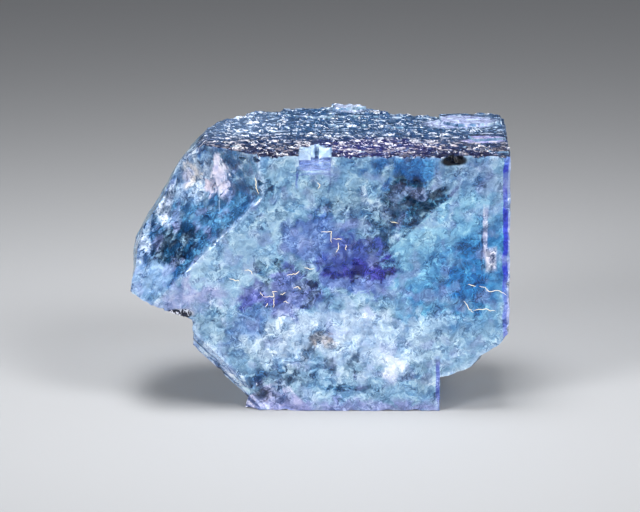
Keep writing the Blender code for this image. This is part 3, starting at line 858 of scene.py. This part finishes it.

# The top: dark navy terraces, violet near the middle and teal to the back, whose darkness is painted shade
# for the dark that the top mirrors and sees through, with pale plates at the right and painted highlights on
# the crests of the scales, fainter towards the front and at the shaded left corner.
TOP_FROM = (31.7, 32.3)
TOP_FACES_UP = (0.2, 0.5)
TOP_RUN = (-13.0, 4.0)
TOP_FRONT_SHADE = (16, 16, 54)
TOP_BACK_SHADE = (36, 70, 108)
TOP_HEART = ((7, -9, 33), (7, 5, 5), 0.5)
TOP_HEART_COLOR = (36, 32, 92)
TOP_LIT_SIDE = (0.0, 0.3)
TOP_LIT_SHARE = 0.5
TOP_LIT = (90, 116, 160)
TOP_SHADED_SIDE = (0.0, -0.25)
TOP_SHADE_SHARE = 0.8
TOP_SHADE = (90, 110, 150)
TOP_LEFT = ((-13, 5, 33), (8, 7, 5), 0.5)
TOP_LEFT_SHARE = 0.6
TOP_LEFT_COLOR = (86, 108, 140)
PALE_PLATES = (
    # name; centre; size; edge; share; colour
    ("back plate", (18.1, 5.2, 33.5), (4.6, 3, 2), 0.2, 0.9, (144, 152, 186)),
    ("front plate", (20.6, -4.8, 33.4), (3, 1.4, 1), 0.2, 0.9, (140, 138, 182)),
    ("hillock", (4.1, 11.6, 34), (2, 2, 2), 0.3, 1.0, (140, 150, 176)),
)
SHADED_CORNER = ((-11, -11, 33), (9, 4, 5), 0.4)
LIP_HIGHLIGHT_FADE = (-18.0, -8.0)
LIP_HIGHLIGHT_SHADED = 0.5
LIP_HIGHLIGHT_RUN = (-9.0, 2.0)
LIP_HIGHLIGHT_FRONT = (188, 180, 186)
LIP_HIGHLIGHT_BACK = (164, 182, 204)
DARK_CHIP = ((16.9, -13.6, 32.3), (1.5, 1.2, 0.75), 0.2)
DARK_CHIP_COLOR = (5, 8, 16)
TOP_CLARITY = 0.5
PALE_CLARITY = 0.15
# Painted highlights on the crests of the scales, fainter towards the front and in the shaded left corner;
# with the pale plates they make the top less clear.
lip_highlights = both(lip_gleam, between(blob(warped, *SHADED_CORNER), soft_step(here["Y"], *LIP_HIGHLIGHT_FADE), LIP_HIGHLIGHT_SHADED))
pale = lip_highlights
# Painted shade: the dark navy at the front and the teal at the back stand in for the dark the top mirrors and
# sees through.
top_color = paint(soft_step(here["Y"], *TOP_RUN), tint(*TOP_FRONT_SHADE), tint(*TOP_BACK_SHADE))
top_color = paint(blob(warped, *TOP_HEART), top_color, tint(*TOP_HEART_COLOR))
# Painted light: the top is paler on the lit side of each crease.
top_color = paint(both(soft_step(crease_shading, *TOP_LIT_SIDE), TOP_LIT_SHARE), top_color, tint(*TOP_LIT))
for name, centre, size, edge, share, shade in PALE_PLATES:
    mask = blob(stirred, centre, size, edge)
    pale = reckon("MAXIMUM", pale, mask)
    top_color = paint(both(mask, share), top_color, tint(*shade))
# Painted shade: the top is darker on the shaded side of each crease.
top_color = darken(both(soft_step(crease_shading, *TOP_SHADED_SIDE), TOP_SHADE_SHARE), top_color, TOP_SHADE)
top_color = paint(both(blob(warped, *TOP_LEFT), TOP_LEFT_SHARE), top_color, tint(*TOP_LEFT_COLOR))
# Painted highlights: the crests of the scales are cream at the front and pale blue at the back.
lip_highlight_color = paint(soft_step(here["Y"], *LIP_HIGHLIGHT_RUN), tint(*LIP_HIGHLIGHT_FRONT), tint(*LIP_HIGHLIGHT_BACK))
top_color = paint(lip_highlights, top_color, lip_highlight_color)
top_mask = both(soft_step(here["Z"], *TOP_FROM), soft_step(facing["Z"], *TOP_FACES_UP))
color = paint(top_mask, color, top_color)
color = paint(blob(stirred, *DARK_CHIP), color, tint(*DARK_CHIP_COLOR))
clarity = between(top_mask, clarity, between(pale, TOP_CLARITY, PALE_CLARITY))

# The surface is glossy and finely dented. Light bends in the crystal, which keeps back its red.
ROUGHNESS = 0.08
IOR = 1.434
ABSORB_COLOR = (0.35, 0.66, 0.95, 1)
ABSORB_DENSITY = 10.0
DENT_NOISE = (1.2, 2, 0.6)
DENT_DEPTH = 0.25 * MM
dents = {"Strength": 1.0, "Distance": DENT_DEPTH, "Height": noise(place, *DENT_NOISE)}
bump = node_of(tree, "ShaderNodeBump", dents).outputs[0]
shader = tree.nodes["Principled BSDF"]
tree.links.new(color, shader.inputs["Base Color"])
tree.links.new(bump, shader.inputs["Normal"])
tree.links.new(clarity, shader.inputs["Transmission Weight"])
shader.inputs["Roughness"].default_value = ROUGHNESS
shader.inputs["IOR"].default_value = IOR
absorb = node_of(tree, "ShaderNodeVolumeAbsorption", {"Color": ABSORB_COLOR, "Density": ABSORB_DENSITY})
tree.links.new(absorb.outputs[0], tree.nodes["Material Output"].inputs["Volume"])
skin_mesh.materials.append(material)


# ---- Flashing cracks ----
# Thin cracks at the front face catch the light as cream and white lines, a painted reflection: each is a
# ribbon of plain cream colour along a few points, a hair's breadth over the etched skin and inside the
# solid's front.
# Lengths are in millimetres.
CRACK_WIDTH = 0.08
CRACK_JITTER = 0.05
CRACK_PARTS = 5
CRACK_DEPTH = 0.01
CRACK_TAPER = 0.03
CRACK_SEED = 7
CRACK_GLINT_COLOR = (226, 214, 182)
CRACK_ROUGHNESS = 0.4
CRACKS = (
    # points x, z on the front face
    ((-6.9, 14.9), (-5.6, 14.9), (-5.6, 15.6)),
    ((-7.3, 15.5), (-6.9, 15.0)),
    ((-5.9, 15.5), (-5.2, 15.6)),
    ((-4.8, 15.1), (-4.1, 15.4)),
    ((-5.6, 14.8), (-5.6, 13.5)),
    ((-4.0, 17.7), (-2.9, 17.8), (-2.4, 18.2)),
    ((-1.8, 18.6), (-0.5, 18.5)),
    ((-9.2, 18.3), (-8.6, 18.35), (-8.2, 17.8)),
    ((-11.1, 17.2), (-9.9, 16.9)),
    ((0.3, 23.3), (1.6, 23.3), (1.6, 21.9)),
    ((1.9, 22.4), (3.0, 22.3)),
    ((9.0, 24.6), (9.9, 24.4)),
    ((18.7, 16.5), (19.7, 16.2)),
    ((20.1, 16.2), (21.0, 16.0), (21.3, 15.6), (22.7, 15.7), (23.5, 15.1)),
    ((18.2, 14.4), (18.9, 13.4), (19.4, 12.8)),
    ((19.4, 13.1), (20.6, 13.3), (22.2, 13.1)),
    ((-7.9, 30.2), (-7.8, 29.7), (-7.8, 28.9), (-7.4, 28.1)),
    ((-0.1, 29.6), (0.2, 29.2), (0.0, 28.8)),
    ((2.4, 21.9), (2.5, 21.2), (2.2, 20.6)),
    ((3.4, 21.6), (3.5, 20.9)),
    ((-4.4, 14.3), (-3.7, 14.1)),
    ((-6.4, 14.1), (-6.6, 13.6)),
    ((-3.2, 16.0), (-2.5, 16.2), (-2.3, 15.8)),
)


def ribbon_along(path, width):
    """A flat strip in the front face along a path whose points are pushed about a little at random: corners
    are its points moved half the width to each side, narrowing towards both ends as sin(pi t)^0.5."""
    path = np.array(path, float)
    steps = np.linspace(0, len(path) - 1, CRACK_PARTS * (len(path) - 1) + 1)
    line = np.stack([np.interp(steps, np.arange(len(path)), path[:, k]) for k in range(2)], 1)
    line += crack_random.normal(0, CRACK_JITTER, line.shape)
    run = np.gradient(line, axis=0)
    run /= np.linalg.norm(run, axis=1)[:, None]
    aside = np.stack([-run[:, 1], run[:, 0]], 1)
    t = np.linspace(CRACK_TAPER, 1 - CRACK_TAPER, len(line))
    half = 0.5 * width * np.sqrt(np.sin(np.pi * t))[:, None]
    sides = np.concatenate([line + aside * half, line - aside * half])
    corners = np.stack([sides[:, 0], np.full(len(sides), front_plane + CRACK_DEPTH), sides[:, 1]], 1)
    first = np.arange(len(line) - 1)
    quads = np.stack([first, first + 1, first + 1 + len(line), first + len(line)], 1)
    return corners, quads


crack_random = np.random.default_rng(CRACK_SEED)
corners = []
quads = []
count = 0
for path in CRACKS:
    ribbon, strips = ribbon_along(path, CRACK_WIDTH)
    corners.append(ribbon)
    quads.append(strips + count)
    count += len(ribbon)
crack_mesh = bpy.data.meshes.new("flashing_cracks")
crack_mesh.from_pydata((np.concatenate(corners) * MM).tolist(), [], np.concatenate(quads).tolist())
crack_material = bpy.data.materials.new("crack_flash")
crack_material.use_nodes = True
crack_shader = crack_material.node_tree.nodes["Principled BSDF"]
crack_shader.inputs["Base Color"].default_value = tint(*CRACK_GLINT_COLOR)
crack_shader.inputs["Roughness"].default_value = CRACK_ROUGHNESS
crack_mesh.materials.append(crack_material)
cracks = bpy.data.objects.new("flashing_cracks", crack_mesh)
bpy.context.scene.collection.objects.link(cracks)
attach(cracks, "root")
